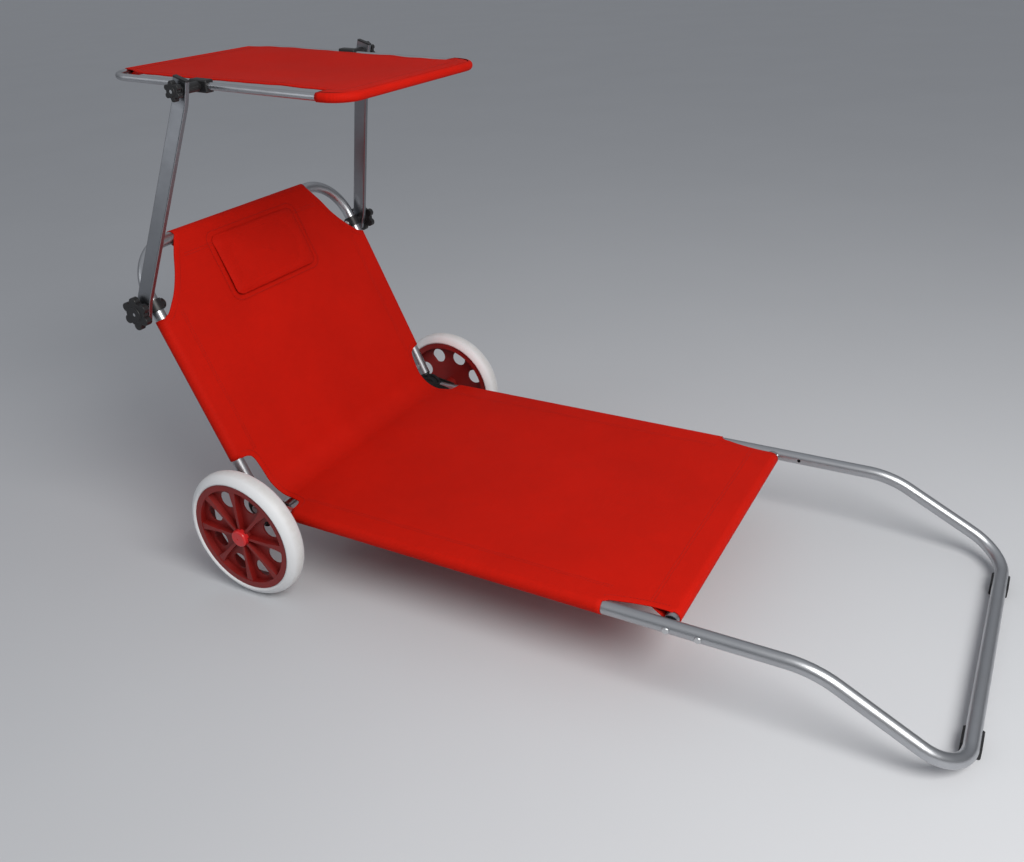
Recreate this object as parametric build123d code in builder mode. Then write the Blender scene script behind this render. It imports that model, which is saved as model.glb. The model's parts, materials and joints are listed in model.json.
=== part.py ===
from build123d import *
from math import cos, radians, sin
import os

# Beach cart: a folding sun lounger on two wheels, with a bent pull handle at its foot and a
# tilting canopy on two arms. Millimetres. +X runs to the foot, +Y to the left, +Z up, and z = 0
# is the ground. The origin is on the ground, under the middle of the overall length.

os.makedirs("parts", exist_ok=True)

# ---- overall sizes
RAIL_SPACING = 560.0        # between the centrelines of the two side rails
WHEEL_D = 245.0
SEAT_SLOPE = 0.7            # degrees down towards the foot
BACK_ANGLE = 66.0           # degrees above horizontal
BACK_LENGTH = 496.0         # hip axis to the top tube's centreline
BEND_AT = 988.0             # hip axis to the bend where the handle starts
HANDLE_BEND = 28.0          # degrees down from the seat
ARM_LENGTH = 373.0          # between the two canopy pivots
ARM_ANGLE = 18.8            # degrees forward of upright
CANOPY_TILT = 3.5           # degrees down towards the front
CANOPY_FRONT = 280.0        # canopy pivot to the front tube's centreline
CANOPY_REAR = 212.0         # canopy pivot to the rear tube's centreline
CANOPY_WIDTH = 380.0        # between the centrelines of the canopy's side tubes

# ---- tubes
TUBE_D = 22.0
TUBE_WALL = 1.2
CANOPY_TUBE_D = 12.0
CANOPY_TUBE_WALL = 1.0
BACK_CORNER = 85.0          # bend radii of centrelines
BEND_RADIUS = 150.0
HANDLE_CORNER = 65.0
CANOPY_CORNER = 40.0
RAIL_END = 806.0            # hip axis to the joint between rail and handle
CROSSBAR_BACK = 26.0        # crossbar behind that joint
SPIGOT_HALF = 45.0
SPIGOT_WALL = 1.5

# ---- fits
SLIP = 0.15                 # radial gap of an insert in a tube
RUN = 0.05                  # radial gap of a turning fit
SEAT_GAP = 0.3              # between neighbouring faces that don't press
DRILL = 0.1                 # radial gap of a fixed fastener
FLANK = 0.2                 # beside a hinge's tongue and its brackets
INTO = 1.0                  # how far shapes of one moulding run into each other

# ---- crossbar screws
CROSS_PLUG_L = 24.0
CROSS_PLUG_BORE = 20.0
SCREW_INTO_PLUG = 16.0
SCREW_HEAD_R = 5.5
SCREW_HEAD_T = 3.0

# ---- hip hinge
TUBE_START = 30.0           # hip axis to the end of each tube
KNUCKLE_R = 22.0
TONGUE_R = 18.0
TONGUE_T = 10.0
SHOULDER_L = 4.0
EAR_NECK_H = 20.0
TONGUE_NECK_H = 16.0
PLUG_L = 34.0
PIVOT_D = 8.0
PIVOT_HEAD_R = 7.5
PIVOT_HEAD_T = 4.5
PIVOT_HEAD_ROUND = 2.5
PIVOT_TIP = 7.0             # pivot bolt beyond its inner bracket
NUT_FLAT_R = 6.5            # centre to a flat
NUT_T = 5.5
BRACKET_T = 3.0
BRACKET_HIP_R = 17.0        # the bracket's outline round each of its three holes
BRACKET_AXLE_R = 14.0
BRACKET_RIVET_R = 9.0
BRACKET_ROUND = 0.6
RIVET_AT = 50.0
RIVET_D = 5.0
RIVET_HEAD_R = 4.5
RIVET_HEAD_T = 2.0

# ---- axle and wheels
AXLE_D = 10.0
AXLE_DROP = 20.0            # axle below the hip axis
AXLE_AHEAD = 15.0           # axle ahead of the hip axis
AXLE_TIP = 2.0              # axle beyond its clip
AXLE_CHAMFER = 1.0
SPREADER_D = 16.0
SPREADER_WALL = 1.5
SPACER_R = 8.0
WASHER_R = 10.0
WASHER_T = 1.5
CLIP_R = 8.5
CLIP_T = 1.5
WHEEL_GAP = 29.0            # rail's outer side to the wheel's inner face
TYRE_W = 40.0
TYRE_H = 18.0               # tyre outside the rim
TYRE_EDGE_W = 3.0           # rounded foot of the tyre's wall
TYRE_EDGE_H = 4.0
RIM_W = 34.0
RIM_WALL = 5.0
BEAD_DEPTH = 6.5
LIP_W = 3.0
HUB_DISC_T = 3.0
HUB_DISC_DEEP = 12.0        # holed disc behind the rim's outer face
HUB_BOSS_R = 14.0
HUB_BOSS_SHORT = 4.0        # boss short of the tyre's outer face
HUB_HOLES = 8
HUB_HOLE_R = 16.0
HUB_HOLE_EDGE = 7.0         # hole's edge to the rim
RIB_T = 5.0
RIB_WAIST_T = 6.2
RIB_WAIST_AT = 0.62         # of the bead's radius
RIB_FLARE = 14.0
RIB_BELOW_RIM = 1.0
CAP_WALL = 2.2
CAP_SKIRT = 3.5
CAP_H = 8.0
CAP_ROUND = 4.0
CAP_HOLLOW_R = 11.5
CAP_HOLLOW = 6.2
CAP_DIMPLE_R = 1.6
CAP_DIMPLE = 0.8

# ---- handle feet
PAD_T = 9.0                 # under the cross tube
PAD_LENGTH = 36.0
PAD_WALL = 3.0
PAD_END_GAP = 1.0           # pad to the start of the handle's corner
PAD_CROWN = 0.3             # height of the pad's top, as a share of its half width
PAD_ROUND = 3.0
PAD_SCREW_D = 4.0
PAD_SINK = 3.5              # depth of the screw's counterbore
PAD_HEAD_R = 4.0
PAD_HEAD_T = 2.4
PAD_SCREW_SHORT = 3.0       # screw's tip below the tube's centreline

# ---- cloth
CLOTH_T = 1.2
HIP_CLOTH_START = 45.0
HIP_NOTCH_IN = 18.0         # from the rail's centreline to the notch's edge
NOTCH_RAMP = 8.0
SEAT_SLEEVE_FROM = 77.0
SEAT_SLEEVE_END = 103.0     # sleeve's end short of the crossbar
FOOT_HEM_IN = 20.0          # from the rail's centreline to the end of the foot hem
FOOT_EDGE = ((30.0, 12.0), (91.0, 20.0))    # past the sleeve's end, and in from the rail
BACK_SLEEVE_FROM = 96.0
BACK_SLEEVE_END = 124.0     # sleeve's end short of the top tube
HEAD_EDGE = ((12.0, 24.0), (34.0, 44.0), (58.0, 60.0), (94.0, 82.0))
TOP_HEM_SHORT = 17.0        # hem's end short of the top tube's corner
TOP_HEM_FLAT = 8.0
PILLOW_BELOW_TOP = 14.0
PILLOW_L = 138.0
PILLOW_W = 244.0
PILLOW_T = 20.0
PILLOW_CORNER = 18.0
PILLOW_ROUND = 8.0
SHEET_GAP = 6.0             # canopy sheet's edge to its clamps
SHEET_DIP = 6.0             # its hollow edges
SHEET_FRONT_IN = 14.0
SHEET_REAR = ((24.0, 4.0), (60.0, 25.0))    # ahead of the rear tube, and out from its corner
POCKET_MORE = 8.0           # front pocket beyond the frame's corners

# ---- canopy hardware
CLAMP_BELOW_TOP = 98.0      # lower canopy pivots below the top tube
COLLAR_WALL = 3.0
COLLAR_L = 20.0
COLLAR_BOSS = 3.5           # boss beyond the collar on each side
BOSS_R = 9.0
ARM_W = 28.0
ARM_T = 9.0
ARM_WALL = 1.2
ARM_ROUND = 2.0
ARM_LAND = 20.0             # flat length at each end of an arm
ARM_TOE = 16.0              # arm beyond its pivot hole
ARM_BEND = 70.0
ARM_CAP_T = 2.5
ARM_CAP_PLUG = 9.0
CANOPY_ARM_GAP = 44.0       # canopy side tube to the middle of the arm's upper end
BOLT_D = 6.0
BOLT_HEAD_R = 6.0
BOLT_HEAD_T = 4.0
BOLT_HEAD_ROUND = 1.5
BOLT_BELOW_KNOB = 0.5       # bolt's tip below the knob's face
ARM_WASHER_R = 9.0
ARM_WASHER_T = 1.2
LOW_KNOB_R = 29.0
LOW_KNOB_T = 18.0
TOP_KNOB_R = 16.0
TOP_KNOB_T = 15.0
KNOB_LOBES = 6
KNOB_LOBE = 0.27            # radii, as shares of the knob's own
KNOB_CORE = 0.72
KNOB_NECK = 0.46
KNOB_NECK_L = 0.3           # lengths, as shares of its thickness
KNOB_STAR_T = 0.6
KNOB_ROUND = 0.08
CLAMP_BLOCK_L = 36.0
CLAMP_BLOCK_H = 20.0
CLAMP_BLOCK_IN = 9.0
CLAMP_ROUND = 2.5
CLAMP_BOSS_R = 8.0
CLAMP_CORE_HALF = 8.0       # solid core between the two canopy tubes
CLAMP_HEAD_R = 5.0
CLAMP_HEAD_T = 3.0

# ---- places worked out from the sizes above
tube_r = TUBE_D / 2
bore_r = tube_r - TUBE_WALL
rail_y = RAIL_SPACING / 2
rail_out = rail_y + tube_r
rail_in = rail_y - tube_r
past_rail = rail_y * 2      # drilling tools start or end here
cloth_in = tube_r + SEAT_GAP
cloth_out = cloth_in + CLOTH_T
canopy_tube_r = CANOPY_TUBE_D / 2
canopy_bore_r = canopy_tube_r - CANOPY_TUBE_WALL
canopy_y = CANOPY_WIDTH / 2
canopy_cloth_in = canopy_tube_r + SEAT_GAP
canopy_cloth_out = canopy_cloth_in + CLOTH_T
bolt_r = BOLT_D / 2
pivot_r = PIVOT_D / 2
rivet_r = RIVET_D / 2
axle_r = AXLE_D / 2
pad_screw_r = PAD_SCREW_D / 2

outer_face = rail_out + FLANK
inner_face = rail_in - FLANK
plate_out = outer_face + BRACKET_T
plate_in = inner_face - BRACKET_T
wheel_r = WHEEL_D / 2
wheel_in = rail_out + WHEEL_GAP
wheel_mid = wheel_in + TYRE_W / 2
rim_r = wheel_r - TYRE_H
bead_r = rim_r - BEAD_DEPTH
rim_bore_r = bead_r - RIM_WALL
rim_in = wheel_mid - RIM_W / 2
rim_out = wheel_mid + RIM_W / 2
hub_out = wheel_in + TYRE_W - HUB_BOSS_SHORT
hole_circle_r = rim_bore_r - HUB_HOLE_EDGE - HUB_HOLE_R
cap_r = HUB_BOSS_R + CAP_WALL

crossbar_at = RAIL_END - CROSSBAR_BACK
crossbar_half = rail_in - SEAT_GAP
spigot_screw_at = RAIL_END + SPIGOT_HALF / 2
clamp_at = BACK_LENGTH - CLAMP_BELOW_TOP
pad_at = rail_y - HANDLE_CORNER - PAD_END_GAP - PAD_LENGTH / 2
notch_y = rail_y - HIP_NOTCH_IN
foot_hem_half = rail_y - FOOT_HEM_IN
seat_sleeve_to = crossbar_at - SEAT_SLEEVE_END
back_sleeve_to = BACK_LENGTH - BACK_SLEEVE_END
top_hem_half = rail_y - BACK_CORNER - TOP_HEM_SHORT
pillow_mid = BACK_LENGTH - PILLOW_BELOW_TOP - PILLOW_L / 2
collar_r = tube_r + COLLAR_WALL
collar_half = collar_r + COLLAR_BOSS
arm_low_in = rail_y + collar_half
arm_low_y = arm_low_in + ARM_T / 2
arm_top_y = canopy_y + CANOPY_ARM_GAP
arm_top_in = arm_top_y - ARM_T / 2
arm_to_knob = ARM_T + ARM_WASHER_T + 2 * SEAT_GAP
pocket_from = CANOPY_FRONT - CANOPY_CORNER - POCKET_MORE

seat_dir = Vector(cos(radians(SEAT_SLOPE)), 0, -sin(radians(SEAT_SLOPE)))
seat_up = Vector(sin(radians(SEAT_SLOPE)), 0, cos(radians(SEAT_SLOPE)))
back_dir = Vector(-cos(radians(BACK_ANGLE)), 0, sin(radians(BACK_ANGLE)))
back_up = Vector(sin(radians(BACK_ANGLE)), 0, cos(radians(BACK_ANGLE)))
arm_dir = Vector(sin(radians(ARM_ANGLE)), 0, cos(radians(ARM_ANGLE)))
arm_across = Vector(cos(radians(ARM_ANGLE)), 0, -sin(radians(ARM_ANGLE)))
canopy_dir = Vector(cos(radians(CANOPY_TILT)), 0, -sin(radians(CANOPY_TILT)))
canopy_up = Vector(sin(radians(CANOPY_TILT)), 0, cos(radians(CANOPY_TILT)))
handle_dip = radians(SEAT_SLOPE + HANDLE_BEND)
handle_dir = Vector(cos(handle_dip), 0, -sin(handle_dip))
across = Vector(0, 1, 0)

hip_z = wheel_r + AXLE_DROP
foot_z = PAD_T + tube_r
handle_run = (hip_z - BEND_AT * sin(radians(SEAT_SLOPE)) - foot_z) / sin(handle_dip)
pad_half = tube_r + PAD_WALL
front_x = BEND_AT * seat_dir.X + handle_run * handle_dir.X + pad_half
low_pivot_from_hip = back_dir * clamp_at
top_pivot_from_hip = low_pivot_from_hip + arm_dir * ARM_LENGTH
rear_x = (top_pivot_from_hip - canopy_dir * CANOPY_REAR).X - canopy_cloth_out

hip = Vector(-(front_x + rear_x) / 2, 0, hip_z)
axle = hip + Vector(AXLE_AHEAD, 0, -AXLE_DROP)
low_pivot = hip + low_pivot_from_hip
top_pivot = hip + top_pivot_from_hip
foot = hip + seat_dir * BEND_AT + handle_dir * handle_run


def on_seat(along, y=0.0, up=0.0):
    return hip + seat_dir * along + seat_up * up + across * y


def on_back(along, y=0.0, up=0.0):
    return hip + back_dir * along + back_up * up + across * y


def on_canopy(along, y=0.0, up=0.0):
    return top_pivot + canopy_dir * along + canopy_up * up + across * y


def side_plane(place, y, x_dir=(1, 0, 0)):
    """A plane across Y through place, at that y."""
    return Plane(origin=(place.X, y, place.Z), x_dir=x_dir, z_dir=(0, -1, 0))


def rod(place, start, end, radius, mode=Mode.ADD):
    """A round bar along Y through place, from y = start to y = end."""
    with Locations(Plane(origin=(place.X, start, place.Z), z_dir=(0, 1, 0))):
        Cylinder(radius, end - start, align=(Align.CENTER, Align.CENTER, Align.MIN), mode=mode)


def bar(start, end, radius, mode=Mode.ADD):
    """A round bar from one point to another."""
    span = end - start
    with Locations(Plane(origin=start, z_dir=span)):
        Cylinder(radius, span.length, align=(Align.CENTER, Align.CENTER, Align.MIN), mode=mode)


def drill(place, radius):
    """A hole along Y through the left side's piece."""
    rod(place, 0, past_rail, radius, mode=Mode.SUBTRACT)


def drill_across(place, radius):
    """A hole along Y through both sides."""
    rod(place, -past_rail, past_rail, radius, mode=Mode.SUBTRACT)


def keep(piece, name):
    piece.part.label = name
    export_step(piece.part, f"parts/{name}.step")


def keep_pair(piece, name):
    """Writes a left piece and its mirror image on the right."""
    keep(piece, f"{name}_left")
    with BuildPart() as twin:
        mirror(piece.part, about=Plane.XZ)
    keep(twin, f"{name}_right")


def keep_both(piece, name):
    """Writes left pieces and their mirror images as one group."""
    with BuildPart() as group:
        add(piece.part)
        mirror(piece.part, about=Plane.XZ)
    keep(group, name)


def straight_tube(start, end, outer_r, inner_r):
    with BuildPart() as piece:
        bar(start, end, outer_r)
        bar(start, end, inner_r, mode=Mode.SUBTRACT)
    return piece


def bent_tube(points, radii, outer_r, inner_r):
    with BuildPart() as piece:
        with BuildLine() as path:
            FilletPolyline(*points, radius=radii)
        with BuildSketch(Plane(origin=path.line @ 0, z_dir=path.line % 0)):
            Circle(outer_r)
            Circle(inner_r, mode=Mode.SUBTRACT)
        sweep(path=path.line)
    return piece


def ring(start, end, outer_r, inner_r, name):
    """A pair of round sleeves on the axle, or one on its middle when start is negative."""
    with BuildPart() as piece:
        rod(axle, start, end, outer_r)
        rod(axle, start, end, inner_r, mode=Mode.SUBTRACT)
    if start < 0:
        keep(piece, name)
    else:
        keep_both(piece, name)


# ================================================================ seat frame
def seat_rails():
    tube = straight_tube(on_seat(TUBE_START, rail_y), on_seat(RAIL_END, rail_y), tube_r, bore_r)
    with BuildPart() as rail:
        add(tube.part)
        drill(on_seat(RIVET_AT), rivet_r + DRILL)
        drill(on_seat(crossbar_at), bolt_r + DRILL)
    keep_pair(rail, "seat_rail")


def handle():
    left = [on_seat(RAIL_END, rail_y), on_seat(BEND_AT, rail_y), foot + across * rail_y]
    right = [point - across * (2 * rail_y) for point in reversed(left)]
    radii = [BEND_RADIUS, HANDLE_CORNER, HANDLE_CORNER, BEND_RADIUS]
    tube = bent_tube(left + right, radii, tube_r, bore_r)
    with BuildPart() as handle_tube:
        add(tube.part)
        drill_across(on_seat(spigot_screw_at), bolt_r + DRILL)
        for side in (1, -1):
            middle = foot + across * side * pad_at
            bar(middle, middle - Vector(0, 0, tube_r), pad_screw_r + DRILL, mode=Mode.SUBTRACT)
    keep(handle_tube, "handle_tube")


def handle_spigots():
    spigot_r = bore_r - SLIP
    start = on_seat(RAIL_END - SPIGOT_HALF, rail_y)
    end = on_seat(RAIL_END + SPIGOT_HALF, rail_y)
    with BuildPart() as spigot:
        bar(start, end, spigot_r)
        bar(start, end, spigot_r - SPIGOT_WALL, mode=Mode.SUBTRACT)
        for along in (crossbar_at, spigot_screw_at):
            drill(on_seat(along), bolt_r + DRILL)
    keep_both(spigot, "handle_spigots")


def crossbar():
    left = on_seat(crossbar_at, crossbar_half)
    right = on_seat(crossbar_at, -crossbar_half)
    keep(straight_tube(right, left, tube_r, bore_r), "seat_crossbar")
    with BuildPart() as plug:
        rod(left, crossbar_half - CROSS_PLUG_L, crossbar_half, bore_r - SLIP)
        rod(left, crossbar_half - CROSS_PLUG_BORE, crossbar_half, bolt_r + DRILL, mode=Mode.SUBTRACT)
    keep_both(plug, "crossbar_plugs")


def dome_screw(place, tip_y, name):
    """A pair of screws along Y with domed heads on the rails' outer sides."""
    with BuildPart() as screw:
        rod(place, tip_y, rail_out, bolt_r)
        rod(place, rail_out, rail_out + SCREW_HEAD_T, SCREW_HEAD_R)
        fillet(screw.edges().group_by(Axis.Y)[-1], SCREW_HEAD_T * 0.6)
    keep_both(screw, name)


def rail_screws():
    dome_screw(on_seat(crossbar_at), rail_in - SCREW_INTO_PLUG, "crossbar_screws")
    dome_screw(on_seat(spigot_screw_at), rail_y, "handle_screws")


def foot_pads():
    bottom = Vector(foot.X, pad_at, 0)
    up = Vector(0, 0, 1)
    with BuildPart() as pad:
        with BuildSketch(side_plane(foot, pad_at + PAD_LENGTH / 2)):
            with Locations((0, -foot_z / 2)):
                Rectangle(2 * pad_half, foot_z)
            with BuildLine():
                ThreePointArc((-pad_half, 0), (0, pad_half * PAD_CROWN), (pad_half, 0))
                Line((pad_half, 0), (-pad_half, 0))
            make_face()
            Circle(tube_r + DRILL, mode=Mode.SUBTRACT)
        extrude(amount=PAD_LENGTH)
        fillet(pad.edges().filter_by(Axis.Y).group_by(Axis.Z)[0], PAD_ROUND)
        bar(bottom, bottom + up * foot_z, pad_screw_r + DRILL, mode=Mode.SUBTRACT)
        bar(bottom, bottom + up * PAD_SINK, PAD_HEAD_R + 2 * DRILL, mode=Mode.SUBTRACT)
    keep_pair(pad, "foot_pad")
    head_top = bottom + up * (PAD_SINK - DRILL)
    with BuildPart() as screw:
        bar(head_top - up * PAD_HEAD_T, head_top, PAD_HEAD_R)
        bar(head_top, bottom + up * (foot_z - PAD_SCREW_SHORT), pad_screw_r)
    keep_both(screw, "foot_pad_screws")


# ================================================================ hip hinges
def knuckle(along_dir, disc_r, neck_h, half_t):
    """Plug, shoulder, neck and disc of one half of a hinge."""
    start = Vector(hip.X, rail_y, hip.Z)
    with BuildPart() as piece:
        with BuildSketch(side_plane(hip, rail_y, along_dir)):
            Circle(disc_r)
            with Locations(((TUBE_START - SHOULDER_L / 2) / 2, 0)):
                Rectangle(TUBE_START - SHOULDER_L / 2, neck_h)
        extrude(amount=half_t, both=True)
        bar(start + along_dir * (TUBE_START - SHOULDER_L), start + along_dir * TUBE_START, tube_r)
        bar(start + along_dir * (TUBE_START - INTO), start + along_dir * (TUBE_START + PLUG_L),
            bore_r - SLIP)
        drill(hip, pivot_r + RUN)
        drill(start + along_dir * RIVET_AT, rivet_r + DRILL)
    return piece


def knuckles():
    """The seat's half has two ears, and the backrest's a tongue that turns between them."""
    ears = knuckle(seat_dir, KNUCKLE_R, EAR_NECK_H, tube_r)
    with BuildPart() as seat_knuckle:
        add(ears.part)
        with BuildSketch(side_plane(hip, rail_y)):
            Circle(KNUCKLE_R + INTO)
        extrude(amount=TONGUE_T / 2 + FLANK, both=True, mode=Mode.SUBTRACT)
        drill(axle, axle_r + DRILL)
    keep_pair(seat_knuckle, "seat_knuckle")
    keep_pair(knuckle(back_dir, TONGUE_R, TONGUE_NECK_H, TONGUE_T / 2), "back_knuckle")


def bracket(y_in, name):
    """A plate that hangs the axle from the hip pivot and the rail's rivet, from y_in outwards."""
    rivet = on_seat(RIVET_AT)
    holes = ((hip, BRACKET_HIP_R, pivot_r), (axle, BRACKET_AXLE_R, axle_r),
             (rivet, BRACKET_RIVET_R, rivet_r))
    with BuildPart() as plate:
        with BuildSketch(Plane(origin=(0, y_in, 0), x_dir=(1, 0, 0), z_dir=(0, -1, 0))):
            for place, outline_r, _ in holes:
                with Locations((place.X, place.Z)):
                    Circle(outline_r)
            make_hull()
            for place, _, hole_r in holes:
                with Locations((place.X, place.Z)):
                    Circle(hole_r + DRILL, mode=Mode.SUBTRACT)
        extrude(amount=-BRACKET_T)
        fillet(plate.edges().group_by(Axis.Y)[-1].filter_by(GeomType.LINE), BRACKET_ROUND)
    keep_pair(plate, name)


def rivets(place, inner, outer, name):
    with BuildPart() as rivet:
        rod(place, inner, outer, rivet_r)
        rod(place, outer, outer + RIVET_HEAD_T, RIVET_HEAD_R)
        rod(place, inner - RIVET_HEAD_T, inner, RIVET_HEAD_R)
    keep_both(rivet, name)


def hip_hinges():
    knuckles()
    bracket(outer_face, "outer_bracket")
    bracket(plate_in, "inner_bracket")
    with BuildPart() as bolt:
        rod(hip, plate_in - PIVOT_TIP, plate_out, pivot_r)
        rod(hip, plate_out, plate_out + PIVOT_HEAD_T, PIVOT_HEAD_R)
        fillet(bolt.edges().group_by(Axis.Y)[-1], PIVOT_HEAD_ROUND)
    keep_both(bolt, "hip_bolts")
    with BuildPart() as nut:
        with BuildSketch(side_plane(hip, plate_in)):
            RegularPolygon(NUT_FLAT_R, 6, major_radius=False)
            Circle(pivot_r + DRILL, mode=Mode.SUBTRACT)
        extrude(amount=NUT_T)
    keep_both(nut, "hip_nuts")
    rivets(on_seat(RIVET_AT), plate_in, plate_out, "bracket_rivets")
    rivets(on_back(RIVET_AT), rail_in, rail_out, "back_rivets")


# ================================================================ axle and wheels
def axle_parts():
    washer_in = hub_out + SEAT_GAP
    clip_in = washer_in + WASHER_T
    spreader_half = plate_in - SEAT_GAP
    axle_end = clip_in + CLIP_T + AXLE_TIP
    with BuildPart() as shaft:
        rod(axle, -axle_end, axle_end, axle_r)
        chamfer(shaft.edges().filter_by(GeomType.CIRCLE), AXLE_CHAMFER)
    keep(shaft, "axle")
    spreader_r = SPREADER_D / 2
    ring(-spreader_half, spreader_half, spreader_r, spreader_r - SPREADER_WALL, "axle_spreader")
    ring(plate_out, wheel_in - SEAT_GAP, SPACER_R, axle_r + DRILL, "axle_spacers")
    ring(washer_in, clip_in, WASHER_R, axle_r + DRILL, "axle_washers")
    ring(clip_in, clip_in + CLIP_T, CLIP_R, axle_r, "axle_clips")


def tyre():
    """Turned about the axle: a bead between the rim's lips, then a round crown."""
    bead_half = RIM_W / 2 - LIP_W - SEAT_GAP
    bead_foot_r = bead_r + SEAT_GAP
    half = TYRE_W / 2
    foot_r = rim_r + SEAT_GAP
    wall_r = foot_r + TYRE_EDGE_H
    foot_half = half - TYRE_EDGE_W
    edge_r = foot_r + TYRE_EDGE_H * 0.3
    edge_half = half - TYRE_EDGE_W * 0.27
    with BuildPart() as piece:
        with BuildSketch(Plane(origin=(axle.X, wheel_mid, axle.Z), x_dir=(0, 0, 1), z_dir=(1, 0, 0))):
            with BuildLine():
                Polyline((foot_r, -foot_half), (foot_r, -bead_half), (bead_foot_r, -bead_half),
                         (bead_foot_r, bead_half), (foot_r, bead_half), (foot_r, foot_half))
                ThreePointArc((foot_r, foot_half), (edge_r, edge_half), (wall_r, half))
                ThreePointArc((wall_r, half), (wheel_r, 0), (wall_r, -half))
                ThreePointArc((wall_r, -half), (edge_r, -edge_half), (foot_r, -foot_half))
            make_face()
        revolve(axis=Axis((axle.X, 0, axle.Z), (0, 1, 0)))
    keep_pair(piece, "tyre")


def hub():
    """Rim, a disc with a ring of holes, ribs between the holes, and a boss on the axle."""
    disc_in = rim_out - HUB_DISC_DEEP - HUB_DISC_T
    rib_turn = 180 / HUB_HOLES
    waist_r = bead_r * RIB_WAIST_AT
    rim_side = rim_bore_r + INTO
    boss_side = HUB_BOSS_R - INTO
    with BuildPart() as piece:
        rod(axle, rim_in, rim_out, rim_r)
        rod(axle, rim_in + LIP_W, rim_out - LIP_W, rim_r + INTO, mode=Mode.SUBTRACT)
        rod(axle, rim_in + LIP_W, rim_out - LIP_W, bead_r)
        rod(axle, rim_in, rim_out, rim_bore_r, mode=Mode.SUBTRACT)
        rod(axle, disc_in, disc_in + HUB_DISC_T, rim_side)
        with BuildSketch(side_plane(axle, disc_in)):
            with PolarLocations(hole_circle_r, HUB_HOLES, start_angle=rib_turn):
                Circle(HUB_HOLE_R)
        extrude(amount=-HUB_DISC_T, mode=Mode.SUBTRACT)
        with BuildSketch(Plane(origin=(axle.X, disc_in, axle.Z), x_dir=(1, 0, 0), z_dir=(0, 1, 0))):
            with PolarLocations(0, HUB_HOLES):
                Polygon((boss_side, -RIB_T / 2), (waist_r, -RIB_WAIST_T / 2),
                        (rim_side, -RIB_FLARE / 2), (rim_side, RIB_FLARE / 2),
                        (waist_r, RIB_WAIST_T / 2), (boss_side, RIB_T / 2), align=None)
        extrude(amount=rim_out - RIB_BELOW_RIM - disc_in)
        rod(axle, hub_out - CAP_SKIRT - SEAT_GAP, rim_out, cap_r + SEAT_GAP, mode=Mode.SUBTRACT)
        rod(axle, wheel_in, hub_out, HUB_BOSS_R)
        rod(axle, wheel_in, hub_out, axle_r + RUN, mode=Mode.SUBTRACT)
    keep_pair(piece, "wheel_hub")


def hub_cap():
    top = hub_out + CAP_H
    with BuildPart() as cap:
        rod(axle, hub_out - CAP_SKIRT, top, cap_r)
        fillet(cap.edges().group_by(Axis.Y)[-1], CAP_ROUND)
        rod(axle, hub_out - CAP_SKIRT, hub_out, HUB_BOSS_R + DRILL, mode=Mode.SUBTRACT)
        rod(axle, hub_out, hub_out + CAP_HOLLOW, CAP_HOLLOW_R, mode=Mode.SUBTRACT)
        rod(axle, top - CAP_DIMPLE, top, CAP_DIMPLE_R, mode=Mode.SUBTRACT)
    keep_pair(cap, "hub_cap")


# ================================================================ backrest
def backrest_tube():
    left = [on_back(TUBE_START, rail_y), on_back(BACK_LENGTH, rail_y)]
    right = [point - across * (2 * rail_y) for point in reversed(left)]
    tube = bent_tube(left + right, [BACK_CORNER, BACK_CORNER], tube_r, bore_r)
    with BuildPart() as piece:
        add(tube.part)
        drill_across(on_back(RIVET_AT), rivet_r + DRILL)
        drill_across(low_pivot, bolt_r + DRILL)
    keep(piece, "backrest_tube")


def canopy_collars():
    head_seat = rail_y - collar_half
    low_end = on_back(clamp_at - COLLAR_L / 2, rail_y)
    high_end = on_back(clamp_at + COLLAR_L / 2, rail_y)
    with BuildPart() as collar:
        bar(low_end, high_end, collar_r)
        rod(low_pivot, head_seat, arm_low_in - SEAT_GAP, BOSS_R)
        bar(low_end, high_end, tube_r + DRILL, mode=Mode.SUBTRACT)
        drill(low_pivot, bolt_r + DRILL)
    keep_pair(collar, "canopy_collar")
    knob_end = arm_low_in + arm_to_knob + LOW_KNOB_T
    with BuildPart() as bolt:
        rod(low_pivot, head_seat - BOLT_HEAD_T, head_seat, BOLT_HEAD_R)
        fillet(bolt.edges().group_by(Axis.Y)[0], BOLT_HEAD_ROUND)
        rod(low_pivot, head_seat, knob_end - BOLT_BELOW_KNOB, bolt_r)
    keep_both(bolt, "collar_bolts")


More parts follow.
